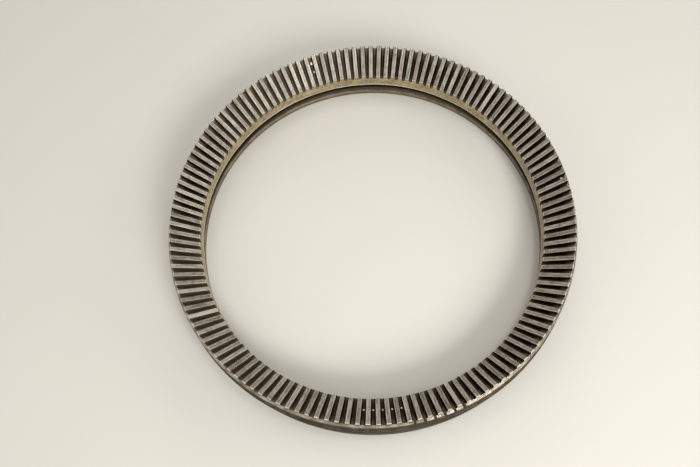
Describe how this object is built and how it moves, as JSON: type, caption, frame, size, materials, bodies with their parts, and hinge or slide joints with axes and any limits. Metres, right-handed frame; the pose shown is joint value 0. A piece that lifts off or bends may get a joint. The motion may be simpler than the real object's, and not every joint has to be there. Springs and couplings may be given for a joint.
{
  "type": "slewing ring bearing",
  "caption": "Slewing ring bearing: a ring with straight radial teeth on an inward-facing cone turns on caged balls over a plain fixed ring.",
  "frame": {"origin": "on the turning axis, in the plane of the fixed ring's underside", "axes": "+Z is the turning axis, up from the fixed ring to the teeth; +X passes through the middle of one tooth"},
  "size_m": [0.735, 0.735, 0.11],
  "materials": {
    "gear_steel": "machined steel, oiled and stained brown, lands worn bright",
    "ring_steel": "dark oiled steel",
    "ball_steel": "polished bearing steel",
    "cage_plastic": "natural nylon",
    "rubber": "matt black",
    "small_steel": "zinc plated"
  },
  "bodies": {
    "fixed_body": {"fixed_ring": "ring_steel", "outer_seal": "rubber", "inner_seal": "rubber", "loading_plug": "ring_steel", "plug_taper_pin": "small_steel", "grease_fitting_1": "small_steel", "grease_fitting_2": "small_steel", "grease_fitting_3": "small_steel", "grease_fitting_4": "small_steel"},
    "gear_body": {"gear_ring": "gear_steel"},
    "ball_train": {"ball_01": "ball_steel", "ball_02": "ball_steel", "ball_03": "ball_steel", "ball_04": "ball_steel", "ball_05": "ball_steel", "ball_06": "ball_steel", "ball_07": "ball_steel", "ball_08": "ball_steel", "ball_09": "ball_steel", "ball_10": "ball_steel", "ball_11": "ball_steel", "ball_12": "ball_steel", "ball_13": "ball_steel", "ball_14": "ball_steel", "ball_15": "ball_steel", "ball_16": "ball_steel", "ball_17": "ball_steel", "ball_18": "ball_steel", "ball_19": "ball_steel", "ball_20": "ball_steel", "ball_21": "ball_steel", "ball_22": "ball_steel", "ball_23": "ball_steel", "ball_24": "ball_steel", "ball_25": "ball_steel", "ball_26": "ball_steel", "ball_27": "ball_steel", "ball_28": "ball_steel", "ball_29": "ball_steel", "ball_30": "ball_steel", "ball_31": "ball_steel", "ball_32": "ball_steel", "ball_33": "ball_steel", "ball_34": "ball_steel", "ball_35": "ball_steel", "ball_36": "ball_steel", "ball_37": "ball_steel", "ball_38": "ball_steel", "ball_39": "ball_steel", "ball_40": "ball_steel", "ball_41": "ball_steel", "ball_42": "ball_steel", "cage_segment_1": "cage_plastic", "cage_segment_2": "cage_plastic", "cage_segment_3": "cage_plastic", "cage_segment_4": "cage_plastic", "cage_segment_5": "cage_plastic", "cage_segment_6": "cage_plastic"}
  },
  "joints": [
    {"name": "gear_turn", "type": "hinge", "parent": "fixed_body", "child": "gear_body", "pos_m": [0, 0, 0.035], "axis": [0, 0, 1], "continuous": true},
    {"name": "ball_train_turn", "type": "hinge", "parent": "fixed_body", "child": "ball_train", "pos_m": [0, 0, 0.035], "axis": [0, 0, 1], "continuous": true}
  ],
  "couplings": [
    {"joint": "ball_train_turn", "follows": "gear_turn", "ratio": 0.487}
  ]
}
